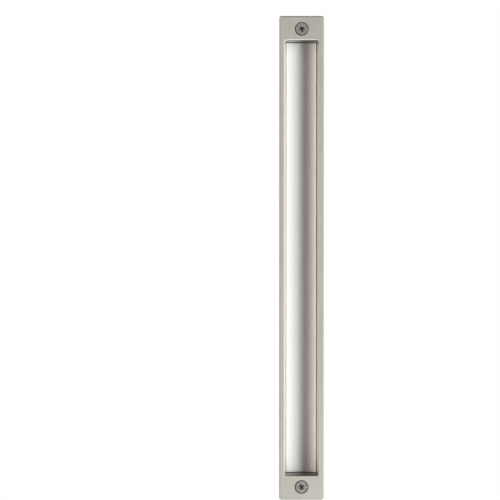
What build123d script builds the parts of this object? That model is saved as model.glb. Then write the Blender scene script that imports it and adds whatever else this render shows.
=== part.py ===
"""Long recessed door pull, 300 mm.

A cast frame has a rounded face plate and a stepped pocket. An extruded trough with a concave top lies
in the pocket, held from behind by three short screws. Two long screws go through the door.
"""

import os
from math import atan, degrees, radians, tan

from build123d import *

os.makedirs("parts", exist_ok=True)

# Driving dimensions, in millimetres and degrees. X runs across the pull, +Y into the door and Z along
# the pull. The origin is the middle of the face plate's back, on the surface of the door.
# A depth is measured from the front face, into the door.

# Face plate of the frame
plate_length = 300.0
plate_width = 27.6
plate_thickness = 2.5
plate_corner_radius = 1.4
plate_edge_round = 0.8

# Pocket: the window in the face, a sloped step all round, and the deeper part that holds the trough
window_length = 270.3
window_width = 21.2
window_corner_radius = 1.2
window_edge_round = 0.5
step_depth = 3.7
step_width = 0.93
step_drop = 0.5
floor_depth = 14.1
draft_angle = 1.0

# Tub behind the plate, which goes into the mortise in the door
tub_wall = 1.5
tub_floor = 1.6
tub_corner_radius = 2.6
tub_back_round = 0.8

# Trough: a hollow extrusion with a concave top, cut square at both ends
trough_width = 18.6
trough_length = 267.7
trough_edge_depth = 8.0
trough_sag = 2.7
trough_land = 0.1
trough_edge_round = 0.08
trough_skin = 1.4
chamber_inner_x = 3.6
chamber_round = 0.25

# Screws that go through the door, one at each end of the plate
door_screw_spacing = 284.0
door_screw_radius = 2.0
door_screw_neck_radius = 1.75
door_screw_neck_length = 3.2
door_screw_length = 35.0
door_screw_head_radius = 3.7
door_screw_head_land = 0.45
door_screw_recess_span = 4.4
door_screw_recess_depth = 2.4
door_screw_turns = {"screw_bottom": 36.0, "screw_top": 17.0}
door_countersink_radius = 4.3
door_hole_radius = 2.25
boss_radius = 3.9
boss_height = 2.0

# Short screws that hold the trough, driven from the back
trough_screw_spacing = 100.0
trough_screw_radius = 1.5
trough_screw_neck_radius = 1.3
trough_screw_neck_length = 0.2
trough_screw_length = 4.0
trough_screw_head_radius = 2.75
trough_screw_head_land = 0.25
trough_screw_recess_span = 2.9
trough_screw_recess_depth = 1.5
trough_screw_turns = {"trough_screw_bottom": 12.0, "trough_screw_middle": 64.0, "trough_screw_top": 33.0}
trough_countersink_radius = 3.05
trough_hole_radius = 1.7
trough_tapped_depth = 2.7

# Countersunk heads and their cross recesses, whose wings narrow downwards to a short point
countersink_angle = 90.0
head_edge_bevel = 0.12
thread_lead_in = 0.4
wing_width_share = 0.24
wing_foot_share = 0.4
wing_foot_depth_share = 0.8


def plane_at(depth):
    """The plane parallel to the face at this depth, facing out of the door."""
    return Plane.XZ.offset(plate_thickness - depth)


def back_plane_at(depth):
    """The plane parallel to the face at this depth, facing into the door."""
    return Plane(origin=(0, depth - plate_thickness, 0), x_dir=(1, 0, 0), z_dir=(0, 1, 0))


def save(part, name):
    """Label a finished piece and write it to its own file."""
    part.label = name
    export_step(part, f"parts/{name}.step")
    print(f"{name}: {part.volume:.1f} mm3")


# Frame

tub_depth = floor_depth + tub_floor
step_angle = degrees(atan(step_width / step_drop))
wall_inset = step_depth * tan(radians(draft_angle))
step_inset = wall_inset + step_width

with BuildPart() as frame:
    # The plate, with its outer edge rounded over
    with BuildSketch(plane_at(plate_thickness)):
        RectangleRounded(plate_width, plate_length, plate_corner_radius)
    extrude(amount=plate_thickness)
    fillet(frame.faces().sort_by(Axis.Y)[0].edges(), plate_edge_round)

    # The tub, which narrows towards its floor so that it leaves the mould
    with BuildSketch(plane_at(plate_thickness)):
        RectangleRounded(window_width + 2 * tub_wall, window_length + 2 * tub_wall, tub_corner_radius)
    extrude(amount=-(tub_depth - plate_thickness), taper=draft_angle)
    fillet(frame.faces().sort_by(Axis.Y)[-1].edges(), tub_back_round)

    # Bosses behind the plate, which centre the pull in the drilled holes of the door
    with BuildSketch(plane_at(plate_thickness)):
        with GridLocations(0, door_screw_spacing, 1, 2):
            Circle(boss_radius)
    extrude(amount=-boss_height)

    # The pocket down to the step, along the step's slope, and below it down to the floor
    with BuildSketch(plane_at(0)):
        RectangleRounded(window_width, window_length, window_corner_radius)
    extrude(amount=-step_depth, taper=draft_angle, mode=Mode.SUBTRACT)
    with BuildSketch(plane_at(step_depth)):
        RectangleRounded(
            window_width - 2 * wall_inset,
            window_length - 2 * wall_inset,
            window_corner_radius - wall_inset,
        )
    extrude(amount=-step_drop, taper=step_angle, mode=Mode.SUBTRACT)
    with BuildSketch(plane_at(step_depth + step_drop)):
        RectangleRounded(
            window_width - 2 * step_inset,
            window_length - 2 * step_inset,
            window_corner_radius - step_inset,
        )
    extrude(amount=-(floor_depth - step_depth - step_drop), mode=Mode.SUBTRACT)
    fillet(frame.faces().sort_by(Axis.Y)[0].inner_wires()[0].edges(), window_edge_round)

    # Countersunk holes for the long screws in the face, and for the short ones in the back of the tub
    with Locations(plane_at(0)):
        with GridLocations(0, door_screw_spacing, 1, 2):
            CounterSinkHole(
                door_hole_radius,
                door_countersink_radius,
                depth=plate_thickness + boss_height,
                counter_sink_angle=countersink_angle,
            )
    with Locations(back_plane_at(tub_depth)):
        with GridLocations(0, trough_screw_spacing, 1, len(trough_screw_turns)):
            CounterSinkHole(
                trough_hole_radius,
                trough_countersink_radius,
                depth=tub_floor,
                counter_sink_angle=countersink_angle,
            )

save(frame.part, "frame")


# Trough

trough_height = floor_depth - trough_edge_depth
half_chord = trough_width / 2 - trough_land
trough_radius = (half_chord**2 + trough_sag**2) / (2 * trough_sag)
trough_top = trough_edge_depth - plate_thickness
trough_base = floor_depth - plate_thickness
arc_centre = (0, trough_top + trough_sag - trough_radius)
chamber_width = trough_width / 2 - trough_skin - chamber_inner_x

with BuildPart() as trough:
    with BuildSketch(Plane.XY.offset(-trough_length / 2)) as section:
        # The outline: a flat base, upright sides, rounded corners, and a round hollow along the top
        with Locations((0, trough_base - trough_height / 2)):
            RectangleRounded(trough_width, trough_height, trough_edge_round)
        with Locations(arc_centre):
            Circle(trough_radius, mode=Mode.SUBTRACT)

        # A hollow chamber on each side of the solid middle, under a skin of even thickness
        with BuildSketch(mode=Mode.PRIVATE) as chamber:
            with Locations((chamber_inner_x + chamber_width / 2, trough_base - trough_height / 2)):
                Rectangle(chamber_width, trough_height - 2 * trough_skin)
            with Locations(arc_centre):
                Circle(trough_radius + trough_skin, mode=Mode.SUBTRACT)
            fillet(chamber.vertices(), chamber_round)
        add(chamber.sketch, mode=Mode.SUBTRACT)
        add(mirror(chamber.sketch, about=Plane.YZ, mode=Mode.PRIVATE), mode=Mode.SUBTRACT)
    extrude(amount=trough_length)

    # Tapped holes in the base for the short screws
    with Locations(back_plane_at(floor_depth)):
        with GridLocations(0, trough_screw_spacing, 1, len(trough_screw_turns)):
            Hole(trough_screw_radius, depth=trough_tapped_depth)

save(trough.part, "trough")


# Screws


def turned(origin, normal, turn):
    """A plane at this point with this normal, whose x axis lies this many degrees round from +X."""
    return Plane(origin=origin, x_dir=Vector(1, 0, 0).rotate(Axis((0, 0, 0), normal), turn), z_dir=normal)


def countersunk_screw(
    head,
    radius,
    neck_radius,
    neck_length,
    length,
    head_radius,
    head_land,
    recess_span,
    recess_depth,
):
    """A countersunk machine screw with a cross recess.

    head is the plane of the top of its head, facing away from the shank, and the recess is in line with
    that plane's own axes. The shank has a plain neck under the head and then the thread's outer radius.
    """
    along = Plane(origin=head.origin, x_dir=head.x_dir, z_dir=-head.y_dir)
    cone_end = head_land + head_radius - neck_radius
    thread_start = cone_end + neck_length
    foot = wing_foot_share * recess_span / 2
    foot_depth = wing_foot_depth_share * recess_depth
    with BuildPart() as screw:
        # Half of the screw's outline, with its depth below the top of the head measured downwards
        with BuildSketch(along):
            with BuildLine():
                Polyline(
                    (0, 0),
                    (head_radius - head_edge_bevel, 0),
                    (head_radius, -head_edge_bevel),
                    (head_radius, -head_land),
                    (neck_radius, -cone_end),
                    (neck_radius, -thread_start),
                    (radius, -thread_start - (radius - neck_radius)),
                    (radius, -length + thread_lead_in),
                    (radius - thread_lead_in, -length),
                    (0, -length),
                    close=True,
                )
            make_face()
        revolve(axis=Axis(head.origin, head.z_dir))

        # Two crossing wings that narrow towards the bottom of the recess, which ends in a point
        for wing_plane in (along, Plane(origin=head.origin, x_dir=head.y_dir, z_dir=head.x_dir)):
            with BuildSketch(wing_plane):
                with BuildLine():
                    Polyline(
                        (-recess_span / 2, 0),
                        (-foot, -foot_depth),
                        (0, -recess_depth),
                        (foot, -foot_depth),
                        (recess_span / 2, 0),
                        close=True,
                    )
                make_face()
            extrude(amount=wing_width_share * recess_span / 2, both=True, mode=Mode.SUBTRACT)
    return screw


def seated_depth(countersink_radius, head_radius, head_land):
    """How far below the surface a head's top lies, when its cone fills a countersink of this mouth."""
    return countersink_radius - head_radius - head_land


door_head_depth = seated_depth(door_countersink_radius, door_screw_head_radius, door_screw_head_land)
for side, (name, turn) in zip((-1, 1), door_screw_turns.items()):
    seat = (0, door_head_depth - plate_thickness, side * door_screw_spacing / 2)
    door_screw = countersunk_screw(
        turned(seat, (0, -1, 0), turn),
        door_screw_radius,
        door_screw_neck_radius,
        door_screw_neck_length,
        door_screw_length,
        door_screw_head_radius,
        door_screw_head_land,
        door_screw_recess_span,
        door_screw_recess_depth,
    )
    save(door_screw.part, name)

trough_head_depth = seated_depth(
    trough_countersink_radius,
    trough_screw_head_radius,
    trough_screw_head_land,
)
for place, (name, turn) in zip((-1, 0, 1), trough_screw_turns.items()):
    seat = (0, tub_depth - plate_thickness - trough_head_depth, place * trough_screw_spacing)
    trough_screw = countersunk_screw(
        turned(seat, (0, 1, 0), turn),
        trough_screw_radius,
        trough_screw_neck_radius,
        trough_screw_neck_length,
        trough_screw_length,
        trough_screw_head_radius,
        trough_screw_head_land,
        trough_screw_recess_span,
        trough_screw_recess_depth,
    )
    save(trough_screw.part, name)
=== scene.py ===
"""Long flush door pull, dressed for a studio picture.

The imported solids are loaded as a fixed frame. The casting keeps its solid and gets its plated finish.
The trough and the screws are built again as finer surfaces in the same places, with the trough's round
hollow and saw-cut ends, and with the screws' threads. A light tent stands round the pull.

Sizes are in millimetres unless a name or a comment says otherwise, and meshes are in metres.
"""

import logging
from dataclasses import dataclass
from enum import Enum
from math import ceil, cos, pi, radians, sin, tan

import bpy
import numpy as np
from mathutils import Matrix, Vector

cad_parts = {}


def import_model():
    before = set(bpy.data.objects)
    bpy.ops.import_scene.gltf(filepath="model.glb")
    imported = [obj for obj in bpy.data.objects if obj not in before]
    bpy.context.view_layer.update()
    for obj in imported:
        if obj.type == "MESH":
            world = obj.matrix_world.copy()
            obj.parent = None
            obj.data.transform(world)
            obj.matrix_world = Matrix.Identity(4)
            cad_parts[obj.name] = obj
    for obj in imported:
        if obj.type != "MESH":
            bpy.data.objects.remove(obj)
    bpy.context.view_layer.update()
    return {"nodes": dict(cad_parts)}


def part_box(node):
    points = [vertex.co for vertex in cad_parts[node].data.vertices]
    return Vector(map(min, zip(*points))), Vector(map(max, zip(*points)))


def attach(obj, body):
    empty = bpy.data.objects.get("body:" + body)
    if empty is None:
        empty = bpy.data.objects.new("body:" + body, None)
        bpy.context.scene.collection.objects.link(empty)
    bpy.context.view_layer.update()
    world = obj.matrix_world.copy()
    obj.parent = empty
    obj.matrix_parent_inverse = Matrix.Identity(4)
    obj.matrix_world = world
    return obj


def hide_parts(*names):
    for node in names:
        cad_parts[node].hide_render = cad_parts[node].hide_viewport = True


MM = 0.001
BODY = "root"
SHARP_EDGE_DEGREES = 32.0
RECESS_ATTRIBUTE = "recess_depth"
WHITE = (1.0, 1.0, 1.0, 1.0)

log = logging.getLogger("door_pull")


def linear(colour: str) -> tuple[float, float, float, float]:
    """Turn a colour written as an sRGB hex value into linear light.

    Args:
        colour: Six hex digits after a number sign.

    Returns:
        Red, green, blue and an alpha of 1.
    """
    coded = np.array([int(colour[i : i + 2], 16) for i in (1, 3, 5)]) / 255
    light = np.where(coded <= 0.04045, coded / 12.92, ((coded + 0.055) / 1.055) ** 2.4)
    return (*light.tolist(), 1.0)


def smooth_step(values: np.ndarray) -> np.ndarray:
    """Ease from 0 to 1, level at both ends: three times the square less twice the cube."""
    inside = np.clip(values, 0, 1)
    return inside * inside * (3 - 2 * inside)


def add_node(
    tree: bpy.types.NodeTree, kind: str, inputs: dict[str | int, object] | None = None, **settings: object
) -> bpy.types.Node:
    """Add one node to a tree, with its settings and its links.

    Args:
        tree: The tree of a material or of the world.
        kind: The node's type.
        inputs: For each input, by name or by number, another node's output or a plain value.
        **settings: The node's own properties.

    Returns:
        The new node.
    """
    node = tree.nodes.new(kind)
    for name, value in settings.items():
        setattr(node, name, value)
    for name, value in (inputs or {}).items():
        if isinstance(value, bpy.types.NodeSocket):
            tree.links.new(value, node.inputs[name])
        else:
            node.inputs[name].default_value = value
    return node


def new_tree(owner: bpy.types.Material | bpy.types.World) -> bpy.types.NodeTree:
    """Give a material or a world an empty node tree.

    Args:
        owner: The material or the world.

    Returns:
        Its tree.
    """
    owner.use_nodes = True
    owner.node_tree.nodes.clear()
    return owner.node_tree


def surface(name: str, points: np.ndarray, faces: list[np.ndarray]) -> bpy.types.Object:
    """Make a mesh object from arrays, smooth except at its sharp edges.

    Args:
        name: The object's name.
        points: One row for each vertex, in millimetres.
        faces: Arrays of vertex numbers, one row for each face, such as one of quads and one of triangles.

    Returns:
        The object, at the origin and linked to the scene.
    """
    mesh = bpy.data.meshes.new(name)
    mesh.vertices.add(len(points))
    mesh.vertices.foreach_set("co", (points * MM).astype(np.float32).ravel())
    corners = np.concatenate([block.ravel() for block in faces])
    sides = np.concatenate([np.full(len(block), block.shape[1]) for block in faces])
    mesh.loops.add(len(corners))
    mesh.loops.foreach_set("vertex_index", corners.astype(np.int32))
    mesh.polygons.add(len(sides))
    mesh.polygons.foreach_set("loop_start", (np.cumsum(sides) - sides).astype(np.int32))
    mesh.polygons.foreach_set("use_smooth", np.ones(len(sides), bool))
    mesh.update(calc_edges=True)
    mesh.validate()
    mesh.set_sharp_from_angle(angle=radians(SHARP_EDGE_DEGREES))
    made = bpy.data.objects.new(name, mesh)
    bpy.context.scene.collection.objects.link(made)
    return made


def grid_faces(rows: int, columns: int, closed: bool = True) -> np.ndarray:
    """Number the quads between the rows of a grid whose vertices are stored row by row.

    Args:
        rows: How many rows of vertices there are.
        columns: How many vertices each row has.
        closed: Whether the last column joins the first.

    Returns:
        Four vertex numbers for each quad.
    """
    row, column = np.mgrid[0 : rows - 1, 0 : columns if closed else columns - 1]
    after = (column + 1) % columns
    here, onward = row * columns, (row + 1) * columns
    quads = np.stack([here + column, here + after, onward + after, onward + column], axis=-1)
    return quads.reshape(-1, 4)


@dataclass(frozen=True)
class Finish:
    """A bare or plated metal: its name, its darkest and lightest tones, and how rough it is.

    Its pattern takes it from the dark tone to the light one between the two values of tone_range.
    """

    name: str
    dark_tone: str
    light_tone: str
    roughness: float
    tone_range: tuple[float, float] = (0.3, 0.7)

    def toned(
        self,
        tree: bpy.types.NodeTree,
        pattern: bpy.types.NodeSocket,
        *layers: tuple[bpy.types.NodeSocket, str],
    ) -> bpy.types.NodeSocket:
        """Colour the metal by its pattern, and lay other tones over that, each by its share of a point.

        Args:
            tree: The material's tree.
            pattern: The pattern's value.
            *layers: Each layer's share, from 0 to 1, and its tone.

        Returns:
            The colour.
        """
        first, last = self.tone_range
        limits = {"From Min": first, "From Max": last}
        light = add_node(tree, "ShaderNodeMapRange", {"Value": pattern} | limits).outputs["Result"]
        colour = linear(self.dark_tone)
        for share, tone in ((light, self.light_tone), *layers):
            inputs = {"Factor": share, "A": colour, "B": linear(tone)}
            colour = add_node(tree, "ShaderNodeMix", inputs, data_type="RGBA").outputs["Result"]
        return colour

    def finished(self, tree: bpy.types.NodeTree, **inputs: object) -> None:
        """End the tree in the metal's shader.

        Args:
            tree: The material's tree.
            **inputs: What the shader's inputs hold, with underscores for spaces.
        """
        named = {key.replace("_", " "): value for key, value in inputs.items()}
        plain = {"Metallic": 1.0, "Roughness": self.roughness}
        shader = add_node(tree, "ShaderNodeBsdfPrincipled", plain | named)
        add_node(tree, "ShaderNodeOutputMaterial", {"Surface": shader.outputs["BSDF"]})


@dataclass(frozen=True)
class Zone:
    """A box of the casting with soft sides, in millimetres: across it, in depth from its face, along it.

    Its share of a point is full inside the box and falls to nothing over the fade. Where only_part is
    less than 1, it stays full over the inner part of the fade and falls over only that part at the end.
    """

    middle: tuple[float, float, float]
    half: tuple[float, float, float]
    fade: tuple[float, float, float]
    only_part: float = 1.0
    most: float = 1.0

    def share(self, tree: bpy.types.NodeTree, point: bpy.types.NodeSocket) -> bpy.types.NodeSocket:
        """How much a point lies in the zone: 1 less how far it is beyond the box, measured in fades.

        Args:
            tree: The material's tree.
            point: The point, in metres: across, depth and along.

        Returns:
            A share from 0 to the zone's most.
        """
        zero = (0.0, 0.0, 0.0)
        beyond = point
        for operation, values in (
            ("SUBTRACT", self.middle),
            ("ABSOLUTE", zero),
            ("SUBTRACT", self.half),
            ("DIVIDE", self.fade),
            ("MAXIMUM", zero),
        ):
            operand = [value * MM for value in values]
            step = add_node(tree, "ShaderNodeVectorMath", {0: beyond, 1: operand}, operation=operation)
            beyond = step.outputs["Vector"]
        away = add_node(tree, "ShaderNodeVectorMath", {0: beyond}, operation="LENGTH").outputs["Value"]
        limits = {"From Min": 1.0, "From Max": 1.0 - self.only_part, "To Max": self.most}
        return add_node(tree, "ShaderNodeMapRange", {"Value": away} | limits).outputs["Result"]


@dataclass(frozen=True)
class SatinNickel(Finish):
    """Satin nickel plate on a zinc casting whose face was ground before plating.

    The eye sees a warm pale grey with a broad soft sheen on the face, and a duller grey on its rounded
    outer edges and on the back. The pocket's step is a little smoother, and its upright walls mirror the
    trough. Shade is painted into the colour at the pocket's ends, where the upright walls get a painted
    grey and the step and the gap beyond it a painted near black that is not metallic, and likewise in the
    countersinks round the screws and, more faintly, on the plate's end edges.
    """

    name: str = "satin_nickel_plate"
    dark_tone: str = "#BAB9B2"
    light_tone: str = "#C1C0BA"
    roughness: float = 0.78
    roughness_swing: float = 0.05
    edge_colour: str = "#9E9A91"
    step_colour: str = "#C6C3BA"
    # Painted shade: a grey on the pocket's upright walls where shade is marked, a near black elsewhere
    painted_shade_colour: str = "#7E7A73"
    off_wall_shade_colour: str = "#302C29"
    step_roughness: float = 0.66
    wall_roughness: float = 0.22
    line_width: float = 0.22
    line_length: float = 9.0
    line_height: float = 0.05
    cast_grain: float = 0.7
    cast_height: float = 0.03
    patch_size: float = 22.0
    plate_thickness: float = 2.5
    turned_facing: tuple[float, float] = (0.98, 0.9)
    upright_facing: tuple[float, float] = (0.75, 0.35)
    pocket: Zone = Zone((0, 7.45, 0), (11.15, 7.45, 135.7), (0.02, 0.02, 0.02))
    # Where shade is painted: the pocket's ends, lightest towards the left, the gaps at the trough's ends,
    # the countersinks round the screws and, at less than half strength, the plate's end edges
    pocket_end_shade: Zone = Zone((0, 10, 140), (20, 9.2, 5.8), (1, 0.4, 1.8), most=0.95)
    end_shade_across: Zone = Zone((3, 0, 0), (2, 100, 300), (15.7, 1, 1))
    end_gap_shade: Zone = Zone((0, 14.9, 140), (20, 10, 5.8), (1, 0.9, 1.8))
    countersink_shade: Zone = Zone((0, 0, 142), (0, 2.2, 0), (4.32, 0.01, 4.32), only_part=0.03)
    plate_end_shade: Zone = Zone((0, 0, 155), (50, 50, 5.4), (1, 1, 0.7), most=0.45)

    def material(self) -> bpy.types.Material:
        """Build the material from the casting's own coordinates and from which way its surface faces.

        Returns:
            The material.
        """
        made = bpy.data.materials.new(self.name)
        tree = new_tree(made)
        coordinates = add_node(tree, "ShaderNodeTexCoord")
        place = coordinates.outputs["Object"]
        normal = add_node(tree, "ShaderNodeSeparateXYZ", {"Vector": coordinates.outputs["Normal"]})
        turned, upright = (
            add_node(
                tree,
                "ShaderNodeMapRange",
                {"Value": normal.outputs["Y"], "From Min": -first, "From Max": -last},
                interpolation_type="SMOOTHSTEP",
            ).outputs["Result"]
            for first, last in (self.turned_facing, self.upright_facing)
        )
        # Painted shade: the marked share darkens the colour, and off the upright walls it also takes the
        # metal away
        in_pocket, dark = self.shade_marks(tree, place)
        step, wall = (
            add_node(tree, "ShaderNodeMath", {0: share, 1: in_pocket}, operation="MULTIPLY").outputs[0]
            for share in (turned, upright)
        )
        painted_shade = add_node(tree, "ShaderNodeMath", {0: dark, 1: wall}, operation="MULTIPLY").outputs[0]
        shade_off_walls = add_node(tree, "ShaderNodeMath", {0: dark, 1: painted_shade}, operation="SUBTRACT").outputs[0]

        # Uneven from place to place, over a few centimetres
        patch_scale = 1 / (self.patch_size * MM)
        patches = add_node(
            tree, "ShaderNodeTexNoise", {"Vector": place, "Scale": patch_scale, "Detail": 2.0}
        ).outputs["Fac"]
        colour = self.toned(
            tree,
            patches,
            (turned, self.edge_colour),
            (step, self.step_colour),
            (dark, self.off_wall_shade_colour),
            (painted_shade, self.painted_shade_colour),
        )
        swing = self.roughness_swing
        limits = {"To Min": self.roughness - swing, "To Max": self.roughness + swing}
        roughness = add_node(tree, "ShaderNodeMapRange", {"Value": patches} | limits).outputs["Result"]
        for share, value in ((step, self.step_roughness), (wall, self.wall_roughness)):
            inputs = {"Factor": share, "A": roughness, "B": value}
            roughness = add_node(tree, "ShaderNodeMix", inputs, data_type="FLOAT").outputs["Result"]
        metallic = add_node(tree, "ShaderNodeMath", {0: 1.0, 1: shade_off_walls}, operation="SUBTRACT").outputs[0]
        relief = self.relief(tree, place, turned)
        self.finished(tree, Base_Color=colour, Metallic=metallic, Roughness=roughness, Normal=relief)
        return made

    def relief(
        self, tree: bpy.types.NodeTree, place: bpy.types.NodeSocket, turned: bpy.types.NodeSocket
    ) -> bpy.types.NodeSocket:
        """Grinding lines drawn out along the pull on its face, and the mould's grain elsewhere.

        Args:
            tree: The material's tree.
            place: The point, in the casting's coordinates.
            turned: How much the surface is turned away from the front.

        Returns:
            The bumped normal.
        """
        across = 1 / (self.line_width * MM)
        stretch = (across, across, 1 / (self.line_length * MM))
        stretched = add_node(tree, "ShaderNodeMapping", {"Vector": place, "Scale": stretch})
        lines = {"Vector": stretched.outputs["Vector"], "Scale": 1.0, "Detail": 2.0, "Roughness": 0.6}
        grain = {"Vector": place, "Scale": 1 / (self.cast_grain * MM), "Detail": 3.0}
        heights = []
        for pattern, height in ((lines, self.line_height), (grain, self.cast_height)):
            noise = add_node(tree, "ShaderNodeTexNoise", pattern).outputs["Fac"]
            scaled = add_node(tree, "ShaderNodeMath", {0: noise, 1: height * MM}, operation="MULTIPLY")
            heights.append(scaled.outputs[0])
        inputs = {"Factor": turned, "A": heights[0], "B": heights[1]}
        height = add_node(tree, "ShaderNodeMix", inputs, data_type="FLOAT").outputs["Result"]
        bump = add_node(tree, "ShaderNodeBump", {"Height": height, "Distance": 1.0, "Strength": 1.0})
        return bump.outputs["Normal"]

    def shade_marks(
        self, tree: bpy.types.NodeTree, place: bpy.types.NodeSocket
    ) -> tuple[bpy.types.NodeSocket, bpy.types.NodeSocket]:
        """Tell the pocket from the rest of the casting, and how dark each point is.

        The point is moved so that its depth starts at the face. Both halves of the pull are alike but for
        the painted shade at the pocket's ends, which is deepest a little right of the middle and lightest
        at the left, where light from the right reaches in, so the other zones take the point with its signs
        dropped.

        Args:
            tree: The material's tree.
            place: The point, in the casting's coordinates.

        Returns:
            Whether the point is in the pocket, and its painted shade share from 0 to 1.
        """
        shift = (0.0, self.plate_thickness * MM, 0.0)
        point = add_node(tree, "ShaderNodeVectorMath", {0: place, 1: shift}, operation="ADD").outputs[0]
        folded = add_node(tree, "ShaderNodeVectorMath", {0: point}, operation="ABSOLUTE").outputs[0]
        in_pocket = self.pocket.share(tree, folded)
        dark = self.pocket_end_shade.share(tree, folded)
        for operation, share in (
            ("MULTIPLY", self.end_shade_across.share(tree, point)),
            ("MAXIMUM", self.end_gap_shade.share(tree, folded)),
            ("MULTIPLY", in_pocket),
            ("MAXIMUM", self.countersink_shade.share(tree, folded)),
            ("MAXIMUM", self.plate_end_shade.share(tree, folded)),
        ):
            dark = add_node(tree, "ShaderNodeMath", {0: dark, 1: share}, operation=operation).outputs[0]
        return in_pocket, dark


@dataclass(frozen=True)
class BlastedAluminium(Finish):
    """Extruded aluminium, blasted with fine grit and clear anodised.

    The eye sees a neutral silver with a broad soft sheen and a very fine even grain.
    """

    name: str = "blasted_anodised_aluminium"
    dark_tone: str = "#DCDDDB"
    light_tone: str = "#E8E9E7"
    roughness: float = 0.43
    grit: float = 0.16
    grit_height: float = 0.012
    visible_grain: float = 0.55

    def material(self) -> bpy.types.Material:
        """Build the material from the trough's own coordinates.

        Returns:
            The material.
        """
        made = bpy.data.materials.new(self.name)
        tree = new_tree(made)
        place = add_node(tree, "ShaderNodeTexCoord").outputs["Object"]
        grit = add_node(
            tree, "ShaderNodeTexNoise", {"Vector": place, "Scale": 1 / (self.grit * MM), "Detail": 1.0}
        ).outputs["Fac"]
        height = add_node(
            tree, "ShaderNodeMath", {0: grit, 1: self.grit_height * MM}, operation="MULTIPLY"
        ).outputs[0]
        bump = add_node(tree, "ShaderNodeBump", {"Height": height, "Distance": 1.0, "Strength": 1.0})

        # Real grit is too fine to show from here, so its unevenness is drawn about a pixel wide
        grain_scale = 1 / (self.visible_grain * MM)
        grain = add_node(
            tree, "ShaderNodeTexNoise", {"Vector": place, "Scale": grain_scale, "Detail": 2.0}
        ).outputs["Fac"]
        self.finished(tree, Base_Color=self.toned(tree, grain), Normal=bump.outputs["Normal"])
        return made


@dataclass(frozen=True)
class ZincPlate(Finish):
    """Steel with bright zinc plate, as on common machine screws.

    The eye sees a grey a little darker than the nickel, cloudy from place to place. Down in the recess,
    where the driver goes, shade is painted in: the colour darkens with depth.
    """

    name: str = "zinc_plated_steel"
    dark_tone: str = "#7A7976"
    light_tone: str = "#D6D6D2"
    roughness: float = 0.45
    tone_range: tuple[float, float] = (0.35, 0.65)
    cloud: float = 0.75
    cloud_height: float = 0.025
    # Painted shade in the recess, full at this depth
    painted_shade_colour: str = "#8C8B87"
    shade_depth: float = 1.2

    def material(self) -> bpy.types.Material:
        """Build the material from the screw's own coordinates and from its depth attribute.

        Returns:
            The material.
        """
        made = bpy.data.materials.new(self.name)
        tree = new_tree(made)
        place = add_node(tree, "ShaderNodeTexCoord").outputs["Object"]
        cloud = add_node(
            tree, "ShaderNodeTexNoise", {"Vector": place, "Scale": 1 / (self.cloud * MM), "Detail": 3.0}
        ).outputs["Fac"]
        height = add_node(
            tree, "ShaderNodeMath", {0: cloud, 1: self.cloud_height * MM}, operation="MULTIPLY"
        ).outputs[0]
        bump = add_node(tree, "ShaderNodeBump", {"Height": height, "Distance": 1.0, "Strength": 1.0})
        # Painted shade: the colour darkens towards the bottom of the cross recess
        depth = add_node(tree, "ShaderNodeAttribute", attribute_name=RECESS_ATTRIBUTE).outputs["Fac"]
        painted_shade = add_node(
            tree,
            "ShaderNodeMapRange",
            {"Value": depth, "From Max": self.shade_depth},
            interpolation_type="SMOOTHSTEP",
        ).outputs["Result"]
        colour = self.toned(tree, cloud, (painted_shade, self.painted_shade_colour))
        self.finished(tree, Base_Color=colour, Normal=bump.outputs["Normal"])
        return made


class Drive(Enum):
    """Which way a screw is driven: its head's sign along the depth of the door."""

    FROM_THE_FRONT = 1.0
    FROM_THE_BACK = -1.0


@dataclass(frozen=True)
class ScrewSize:
    """A countersunk machine screw with a cross recess. Depths are from the top of its head."""

    pitch: float
    neck_radius: float
    thread_start: float
    recess_span: float
    recess_depth: float
    thread_radius: float
    head_land: float
    edge_bevel: float = 0.12
    edge_middle_share: float = 0.3
    wing_width_share: float = 0.24
    foot_share: float = 0.4
    foot_depth_share: float = 0.8
    wall_width: float = 0.14
    thread_height_share: float = 0.6134
    crest_share: float = 1 / 8
    root_share: float = 1 / 4
    lead_in: float = 0.4


LONG_SCREW = ScrewSize(
    pitch=0.7,
    neck_radius=1.75,
    thread_start=5.6,
    recess_span=4.4,
    recess_depth=2.4,
    thread_radius=2.0,
    head_land=0.45,
)
SHORT_SCREW = ScrewSize(
    pitch=0.5,
    neck_radius=1.3,
    thread_start=1.9,
    recess_span=2.9,
    recess_depth=1.5,
    thread_radius=1.5,
    head_land=0.25,
)


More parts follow.
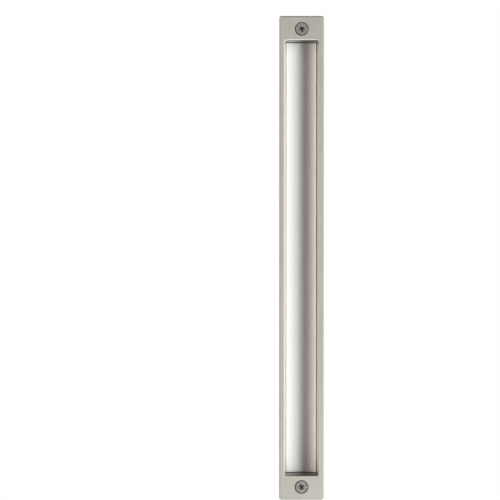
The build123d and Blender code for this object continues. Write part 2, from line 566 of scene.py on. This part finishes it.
@dataclass(frozen=True)
class Screw:
    """One screw, as a closed surface from the middle of its recess to the middle of its tip."""

    node: str
    size: ScrewSize
    drive: Drive
    turn_degrees: float
    columns: int = 96
    head_rows: int = 44
    rows_per_pitch: int = 10

    def recess(self, radius: np.ndarray, angle: np.ndarray) -> np.ndarray:
        """How deep the cross recess is at points of the head's top.

        Along a wing the floor falls in a straight line from the wing's tip to its foot, and from there
        in another to the middle. Across a wing it is full depth between two steep walls, which ease in
        over wall_width. The recess is the deeper of the two wings.

        Args:
            radius: Distances from the screw's axis.
            angle: Angles round the axis from the first wing.

        Returns:
            Depths, 0 outside the recess.
        """
        size = self.size
        tip = size.recess_span / 2
        foot = size.foot_share * tip
        half_width = size.wing_width_share * tip
        foot_depth = size.foot_depth_share * size.recess_depth
        depths = []
        for quarter in (0.0, pi / 2):
            along = np.abs(radius * np.cos(angle - quarter))
            across = np.abs(radius * np.sin(angle - quarter))
            floor = np.interp(along, [0, foot, tip], [size.recess_depth, foot_depth, 0])
            wall = smooth_step((half_width + size.wall_width / 2 - across) / size.wall_width)
            depths.append(floor * wall)
        return np.maximum(*depths)

    def thread(self, depth: np.ndarray, angle: np.ndarray, length: float) -> np.ndarray:
        """The shank's radius where it is threaded.

        The wave runs once in each pitch and is carried on by the angle, which makes it a right-hand
        helix. Its crest and its root are flat over their shares of the pitch, with straight flanks
        between. It grows from the neck within one pitch and ends in a 45 degree lead-in.

        Args:
            depth: Depths below the head's top.
            angle: Angles round the axis.
            length: The whole screw's length.

        Returns:
            Radii, one for each depth and angle.
        """
        size = self.size
        phase = (depth - size.thread_start) / size.pitch - angle / (2 * pi)
        from_crest = np.abs(phase - np.round(phase)) * 2
        flank = 1 - size.root_share - size.crest_share
        fall = np.clip((from_crest - size.crest_share) / flank, 0, 1)
        full = size.thread_radius - fall * size.thread_height_share * size.pitch
        grown = smooth_step((depth - size.thread_start) / size.pitch)
        radius = size.neck_radius + (full - size.neck_radius) * grown
        return np.minimum(radius, size.thread_radius - size.lead_in + length - depth)

    def outline(
        self, head_radius: float, length: float, angle: np.ndarray
    ) -> tuple[np.ndarray, np.ndarray]:
        """Follow the screw's outline: out over the head's top, down its side and neck, and to the tip.

        Args:
            head_radius: The head's radius.
            length: The whole screw's length.
            angle: Angles round the axis, in one row.

        Returns:
            The radius and the depth of each point, a row for each step along the outline.
        """
        size = self.size
        top_radius = np.linspace(0, head_radius - size.edge_bevel, self.head_rows + 1)[1:, None]
        cone_end = size.head_land + head_radius - size.neck_radius
        edge_middle = size.edge_middle_share * size.edge_bevel
        side = np.array(
            [
                [head_radius - edge_middle, edge_middle],
                [head_radius, size.edge_bevel],
                [head_radius, size.head_land],
                [size.neck_radius, cone_end],
                [size.neck_radius, (cone_end + size.thread_start) / 2],
            ]
        )
        count = ceil((length - size.thread_start) / size.pitch * self.rows_per_pitch)
        thread_depth = np.linspace(size.thread_start, length, count + 1)[:, None]
        thread_radius = self.thread(thread_depth, angle, length)
        tip_radius = thread_radius[-1:] / 2
        radius = np.concatenate(
            [
                top_radius + 0 * angle,
                side[:, :1] + 0 * angle,
                thread_radius,
                tip_radius,
            ]
        )
        depth = np.concatenate(
            [
                self.recess(top_radius, angle),
                side[:, 1:] + 0 * angle,
                thread_depth + 0 * angle,
                np.full_like(tip_radius, length),
            ]
        )
        return radius, depth

    def build(self, finish: bpy.types.Material) -> bpy.types.Object:
        """Build the screw where its solid is, and let it stand for that solid.

        The surface is a grid of angle against distance along the outline. Both ends close in a point.

        Args:
            finish: The material of its plate.

        Returns:
            The finished piece.
        """
        low, high = (np.array(corner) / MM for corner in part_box(self.node))
        length = high[1] - low[1]
        top = low[1] if self.drive is Drive.FROM_THE_FRONT else high[1]
        angle = np.linspace(0, 2 * pi, self.columns, endpoint=False)[None, :]
        radius, depth = self.outline((high[0] - low[0]) / 2, length, angle)

        # The head's own axes: the first wing, the shank, and a third that makes them right-handed
        shank = np.array([0.0, self.drive.value, 0.0])
        turn = radians(self.turn_degrees)
        wing = np.array([cos(turn), 0.0, sin(turn) * self.drive.value])
        third = np.cross(shank, wing)
        origin = np.array([(low[0] + high[0]) / 2, top, (low[2] + high[2]) / 2])

        def place(radii: np.ndarray, angles: np.ndarray, depths: np.ndarray) -> np.ndarray:
            """Turn radius, angle and depth into points."""
            parts = (radii * np.cos(angles), radii * np.sin(angles), depths)
            return origin + sum(part[..., None] * axis for part, axis in zip(parts, (wing, third, shank)))

        ring_points = place(radius, angle, depth).reshape(-1, 3)
        middles = place(np.zeros(2), np.zeros(2), np.array([self.size.recess_depth, length]))
        rows = len(radius)
        first = np.arange(self.columns)
        after = (first + 1) % self.columns
        last = (rows - 1) * self.columns
        centre = rows * self.columns
        fans = np.concatenate(
            [
                np.stack([np.full_like(first, centre), after, first], axis=1),
                np.stack([np.full_like(first, centre + 1), last + first, last + after], axis=1),
            ]
        )
        points = np.concatenate([ring_points, middles])
        piece = surface(f"{self.node}_threaded", points, [grid_faces(rows, self.columns), fans])
        self.mark_recess(piece.data, depth[: self.head_rows].ravel())
        piece.data.materials.append(finish)
        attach(piece, BODY)
        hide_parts(self.node)
        return piece

    def mark_recess(self, mesh: bpy.types.Mesh, depth: np.ndarray) -> None:
        """Keep how deep the head's top is at each vertex, for the material.

        Args:
            mesh: The screw's mesh.
            depth: Depths of the head's vertices, which come first in the mesh.
        """
        values = np.zeros(len(mesh.vertices), np.float32)
        values[: len(depth)] = depth
        values[-2] = self.size.recess_depth
        mesh.attributes.new(RECESS_ATTRIBUTE, "FLOAT", "POINT").data.foreach_set("value", values)


@dataclass(frozen=True)
class Trough:
    """The extruded trough: one section all along, and saw-cut ends with broken edges."""

    node: str = "trough"
    sag: float = 2.7
    land: float = 0.1
    skin: float = 1.4
    edge_round: float = 0.08
    chamber_inner: float = 3.6
    chamber_round: float = 0.25
    edge_break: float = 0.05
    arc_steps: int = 56
    round_steps: int = 5
    decimals: int = 5
    slack: float = 1e-6

    def corner(self, distance: np.ndarray, radius: float) -> np.ndarray:
        """How far a corner of this radius stands back, at distances from the side: a quarter circle."""
        near = np.clip(radius - distance, 0, radius)
        return radius - np.sqrt(radius * radius - near * near)

    def section(
        self, half_width: float, top: float, base: float
    ) -> tuple[np.ndarray, np.ndarray, np.ndarray]:
        """Lay out the section as a row of columns, each with four levels.

        The levels are the hollow's arc, the arc of the skin under it, the chambers' floor and the base.
        The columns are in even steps across, with more at the ends of the arc and at round corners.

        Args:
            half_width: Half of the trough's width.
            top: How deep its long edges lie.
            base: How deep its base lies.

        Returns:
            Each column's place across, the levels' depths, and whether a column is in a chamber.
        """
        arc_end = half_width - self.land
        arc_radius = (arc_end**2 + self.sag**2) / (2 * self.sag)
        arc_centre = top + self.sag - arc_radius
        chamber_outer = half_width - self.skin
        quarter = 1 - np.sin(np.linspace(0, pi / 2, self.round_steps))
        right = np.concatenate(
            [
                np.linspace(0, arc_end, self.arc_steps // 2 + 1),
                half_width - self.edge_round * quarter,
                self.chamber_inner + self.chamber_round * quarter,
                chamber_outer - self.chamber_round * quarter,
            ]
        )
        across = np.unique(np.round(np.concatenate([-right, right]), self.decimals))
        side = np.abs(across)
        corner = self.corner(half_width - side, self.edge_round)
        hollow = np.where(side < arc_end, arc_centre + np.sqrt(arc_radius**2 - across**2), top + corner)
        skin_arc = arc_centre + np.sqrt((arc_radius + self.skin) ** 2 - across**2)
        in_chamber = (side >= self.chamber_inner - self.slack) & (side <= chamber_outer + self.slack)
        back = np.where(
            in_chamber,
            self.corner(side - self.chamber_inner, self.chamber_round)
            + self.corner(chamber_outer - side, self.chamber_round),
            0,
        )
        levels = np.stack(
            [
                hollow,
                skin_arc + back,
                np.full_like(across, base - self.skin) - back,
                base - corner,
            ]
        )
        return across, levels, in_chamber

    def build(self, finish: bpy.types.Material) -> bpy.types.Object:
        """Build the trough where its solid is, and let it stand for that solid.

        The end faces are the section's grid without the chambers. The outline and the two chambers are
        carried straight along the trough.

        Args:
            finish: The material of its skin.

        Returns:
            The finished piece.
        """
        low, high = (np.array(corner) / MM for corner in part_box(self.node))
        half_length = high[2]
        across, levels, in_chamber = self.section(high[0], low[1], high[1])
        count = len(across)

        # The outline runs along the hollow and back along the base. Seen from the top end it turns left
        outline = np.concatenate(
            [
                np.arange(count),
                np.array([1, 2]) * count + count - 1,
                3 * count + np.arange(count)[::-1],
                np.array([2, 1]) * count,
            ]
        )
        grid = np.stack([np.broadcast_to(across, levels.shape), levels], axis=-1).reshape(-1, 2)
        loop = grid[outline]
        run = np.roll(loop, -1, axis=0) - np.roll(loop, 1, axis=0)
        inward = np.stack([-run[:, 1], run[:, 0]], axis=1)
        inward /= np.linalg.norm(inward, axis=1)[:, None]

        # Rings of points from the bottom end to the top end, where the outline stands back a little
        full_length = half_length - self.edge_break
        height = np.array([-half_length, -full_length, full_length, half_length])
        set_back = np.array([self.edge_break, 0.0, 0.0, self.edge_break])
        ring_size = len(grid)
        last = len(height) - 1
        rings = np.repeat(grid[None], len(height), axis=0)
        rings[:, outline] += set_back[:, None, None] * inward
        points = np.column_stack([rings.reshape(-1, 2), np.repeat(height, ring_size)])

        def carried(loop_numbers: np.ndarray, start: int, stop: int) -> np.ndarray:
            """The quads that carry a closed loop of the section from one ring to another.

            Args:
                loop_numbers: The loop's vertices, as numbers in the grid.
                start: The ring they run from.
                stop: The ring they run to.

            Returns:
                Four vertex numbers for each quad.
            """
            after = np.roll(loop_numbers, -1)
            here, onward = start * ring_size, stop * ring_size
            quads = [here + loop_numbers, here + after, onward + after, onward + loop_numbers]
            return np.stack(quads, axis=1)

        faces = [carried(outline, ring, ring + 1) for ring in range(last)]
        column = np.arange(count - 1)
        solid_column = ~(in_chamber[:-1] & in_chamber[1:])
        end_quads = []
        for level in range(3):
            kept = column[solid_column] if level == 1 else column
            lower = level * count + kept
            end_quads.append(np.stack([lower, lower + 1, lower + count + 1, lower + count], axis=1))
        end_face = np.concatenate(end_quads)
        faces.append(end_face[:, ::-1])
        faces.append(last * ring_size + end_face)
        for sign in (-1, 1):
            chamber = np.flatnonzero(in_chamber & (np.sign(across) == sign))
            loop_numbers = np.concatenate([count + chamber, 2 * count + chamber[::-1]])
            faces.append(carried(loop_numbers[::-1], 0, last))
        piece = surface("trough_extrusion", points, faces)
        piece.data.materials.append(finish)
        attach(piece, BODY)
        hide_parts(self.node)
        return piece


@dataclass(frozen=True)
class Casting:
    """The die-cast frame. Its solid has the true shape, so it only gets its finish."""

    node: str = "frame"

    def dress(self, node: bpy.types.Object, finish: bpy.types.Material) -> bpy.types.Object:
        """Put the finish on the solid.

        Args:
            node: The loaded solid.
            finish: The material of its plate.

        Returns:
            The same solid.
        """
        node.data.materials.clear()
        node.data.materials.append(finish)
        return node


@dataclass(frozen=True)
class Card:
    """A plain card before a part of the tent. Azimuth 0 is in front of the pull, 90 to its right."""

    name: str
    azimuth: float
    half_width: float
    colour: str
    radius: float = 1250.0
    foot_radius: float = 1250.0
    low: float = -960.0
    high: float = 1250.0
    columns: int = 24

    def build(self) -> bpy.types.Object:
        """Build the card, a strip of a cone about the pull that only reflections show. It is stage.

        Returns:
            The card.
        """
        angle = np.radians(self.azimuth + np.linspace(-self.half_width, self.half_width, self.columns))
        height = np.array([[self.low], [self.high]])
        radius = np.array([[self.foot_radius], [self.radius]])
        points = np.stack(
            [radius * np.sin(angle), -radius * np.cos(angle), height + 0 * angle], axis=-1
        ).reshape(-1, 3)
        card = surface(self.name, points, [grid_faces(2, self.columns, closed=False)])
        made = bpy.data.materials.new(f"{self.name}_board")
        tree = new_tree(made)
        board = add_node(tree, "ShaderNodeEmission", {"Color": linear(self.colour), "Strength": 1.0})
        add_node(tree, "ShaderNodeOutputMaterial", {"Surface": board.outputs[0]})
        made.cycles.emission_sampling = "NONE"
        card.data.materials.append(made)
        card.visible_camera = False
        card.visible_shadow = False
        return card


@dataclass(frozen=True)
class LightTent:
    """A round white tent with a floor, which glows evenly. The floor takes the pull's shadow."""

    radius: float = 1500.0
    floor_drop: float = 1000.0
    wall_height: float = 1500.0
    sweep_radius: float = 300.0
    columns: int = 180
    floor_steps: tuple[float, ...] = (0.001, 0.1, 0.2, 0.35, 0.5, 0.75, 1.0)
    sweep_steps: int = 12
    wall_steps: int = 8
    shadow_share: float = 0.5
    shadow_reach: float = 700.0
    reflectance: float = 0.9

    def build(self) -> bpy.types.Object:
        """Build the tent.

        It is a profile turned about the upright axis: flat out to the sweep, a quarter circle up, and a
        straight wall.

        Returns:
            The tent.
        """
        floor = -self.floor_drop
        flat = np.array(self.floor_steps) * (self.radius - self.sweep_radius)
        quarter = np.linspace(0, pi / 2, self.sweep_steps + 1)[1:]
        wall = np.linspace(floor + self.sweep_radius, self.wall_height, self.wall_steps + 1)[1:]
        radius = np.concatenate(
            [flat, self.radius - self.sweep_radius * (1 - np.sin(quarter)), np.full_like(wall, self.radius)]
        )
        height = np.concatenate(
            [np.full_like(flat, floor), floor + self.sweep_radius * (1 - np.cos(quarter)), wall]
        )
        angle = np.linspace(0, 2 * pi, self.columns, endpoint=False)[None, :]
        out = radius[:, None]
        points = np.stack(
            [out * np.sin(angle), -out * np.cos(angle), height[:, None] + 0 * angle], axis=-1
        ).reshape(-1, 3)
        tent = surface("light_tent", points, [grid_faces(len(radius), self.columns)])
        tent.data.materials.append(self.material())
        return tent

    def material(self) -> bpy.types.Material:
        """White cloth that glows from behind. In the middle of the floor it reflects light as well.

        Returns:
            The material.
        """
        made = bpy.data.materials.new("tent_cloth")
        tree = new_tree(made)
        glow = add_node(tree, "ShaderNodeEmission", {"Color": WHITE, "Strength": 1.0})
        cloth = add_node(tree, "ShaderNodeBsdfDiffuse", {"Color": (*[self.reflectance] * 3, 1.0)})
        place = add_node(tree, "ShaderNodeTexCoord").outputs["Object"]
        parts = add_node(tree, "ShaderNodeSeparateXYZ", {"Vector": place})
        flat = {"X": parts.outputs["X"], "Y": parts.outputs["Y"]}
        level = add_node(tree, "ShaderNodeCombineXYZ", flat).outputs["Vector"]
        away = add_node(tree, "ShaderNodeVectorMath", {0: level}, operation="LENGTH").outputs["Value"]
        share = add_node(
            tree,
            "ShaderNodeMapRange",
            {
                "Value": away,
                "From Min": self.shadow_reach * MM,
                "From Max": 0.0,
                "To Max": self.shadow_share,
            },
            interpolation_type="SMOOTHSTEP",
        ).outputs["Result"]
        both = add_node(tree, "ShaderNodeMixShader", {0: share, 1: glow.outputs[0], 2: cloth.outputs[0]})
        add_node(tree, "ShaderNodeOutputMaterial", {"Surface": both.outputs[0]})
        made.cycles.emission_sampling = "NONE"
        return made


@dataclass(frozen=True)
class Softbox:
    """A lamp with a flat even face, turned towards the pull. Azimuth 0 is in front, 90 to the right.

    Its brightness is added to that of the tent behind it.
    """

    name: str
    azimuth: float
    half_width: float
    brightness: float
    elevation: float = -3.0
    height: float = 1790.0
    distance: float = 850.0
    colour: str = "#FFFFFF"

    def build(self) -> bpy.types.Object:
        """Build the lamp. Its power is its brightness times pi times its area.

        Returns:
            The lamp.
        """
        width = 2 * self.distance * tan(radians(self.half_width))
        lamp = bpy.data.lights.new(self.name, "AREA")
        lamp.shape = "RECTANGLE"
        lamp.size = width * MM
        lamp.size_y = self.height * MM
        lamp.energy = self.brightness * pi * width * self.height * MM**2
        lamp.color = linear(self.colour)[:3]
        made = bpy.data.objects.new(self.name, lamp)
        bpy.context.scene.collection.objects.link(made)
        around, up = radians(self.azimuth), radians(self.elevation)
        outward = Vector((sin(around) * cos(up), -cos(around) * cos(up), sin(up)))
        made.location = outward * self.distance * MM
        made.rotation_euler = outward.to_track_quat("Z", "Y").to_euler()
        made.visible_camera = False
        return made


@dataclass(frozen=True)
class Viewpoint:
    """Where the photograph was taken from, by distances from the middle of the pull's face."""

    distance: float = 1400.0
    left: float = 44.0
    height: float = 43.7
    aim_left: float = 31.95
    aim_height: float = 5.31
    frame_side: float = 309.57
    sensor: float = 36.0

    def build(self, face_depth: float) -> bpy.types.Object:
        """Make the camera, level from side to side, and let the scene use it.

        Args:
            face_depth: Where the pull's face lies along the depth of the door.

        Returns:
            The camera.
        """
        lens = bpy.data.cameras.new("camera")
        lens.sensor_width = self.sensor
        lens.lens = self.sensor * self.distance / self.frame_side
        made = bpy.data.objects.new("camera", lens)
        bpy.context.scene.collection.objects.link(made)
        eye = Vector((-self.left, face_depth - self.distance, self.height)) * MM
        aim = Vector((-self.aim_left, face_depth, self.aim_height)) * MM
        made.location = eye
        made.rotation_euler = (aim - eye).to_track_quat("-Z", "Y").to_euler()
        bpy.context.scene.camera = made
        return made


@dataclass(frozen=True)
class DoorPull:
    """The whole pull: the casting, the trough in it and the five screws."""

    casting: Casting = Casting()
    trough: Trough = Trough()
    screws: tuple[Screw, ...] = (
        Screw("screw_bottom", LONG_SCREW, Drive.FROM_THE_FRONT, 36.0),
        Screw("screw_top", LONG_SCREW, Drive.FROM_THE_FRONT, 17.0),
        Screw("trough_screw_bottom", SHORT_SCREW, Drive.FROM_THE_BACK, 12.0),
        Screw("trough_screw_middle", SHORT_SCREW, Drive.FROM_THE_BACK, 64.0),
        Screw("trough_screw_top", SHORT_SCREW, Drive.FROM_THE_BACK, 33.0),
    )

    def build(self, nodes: dict[str, bpy.types.Object]) -> list[bpy.types.Object]:
        """Dress the casting and build the other pieces.

        Args:
            nodes: The loaded solids by name.

        Returns:
            Every piece that shows.
        """
        zinc = ZincPlate().material()
        pieces = [self.casting.dress(nodes[self.casting.node], SatinNickel().material())]
        pieces.append(self.trough.build(BlastedAluminium().material()))
        pieces += [screw.build(zinc) for screw in self.screws]
        return pieces


@dataclass(frozen=True)
class Studio:
    """The stage, the lamps and the picture's settings."""

    tent: LightTent = LightTent()
    cards: tuple[Card, ...] = (
        Card("black_card", azimuth=-15.0, half_width=21.5, colour="#422820", foot_radius=850.0),
        Card("grey_card", azimuth=-51.0, half_width=15.0, colour="#F0E4DE"),
    )
    softboxes: tuple[Softbox, ...] = (
        Softbox("softbox_right", azimuth=78.0, half_width=12.0, brightness=4.85),
        Softbox("softbox_right_fill", azimuth=54.0, half_width=12.0, brightness=0.85),
        Softbox("softbox_left", azimuth=-78.0, half_width=12.0, brightness=2.6, colour="#FFF5EC"),
        Softbox("softbox_low", azimuth=0.0, half_width=30.0, brightness=7.0, elevation=-79.0, height=450.0),
    )

    def build(self) -> None:
        """Put up the tent, the cards and the lamps, and keep colours as they are."""
        self.tent.build()
        for part in (*self.cards, *self.softboxes):
            part.build()
        scene = bpy.context.scene
        scene.view_settings.view_transform = "Standard"
        world = bpy.data.worlds.new("studio")
        scene.world = world
        tree = new_tree(world)
        sky = add_node(tree, "ShaderNodeBackground", {"Color": WHITE, "Strength": 1.0})
        add_node(tree, "ShaderNodeOutputWorld", {"Surface": sky.outputs["Background"]})


def main() -> None:
    """Load the solids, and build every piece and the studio."""
    logging.basicConfig(level=logging.INFO, format="%(name)s: %(message)s")
    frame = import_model()
    pieces = DoorPull().build(frame["nodes"])
    face_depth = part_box("frame")[0].y / MM
    Viewpoint().build(face_depth)
    Studio().build()
    for piece in pieces:
        log.info("%s: %d faces", piece.name, len(piece.data.polygons))


if __name__ == "__main__":
    main()
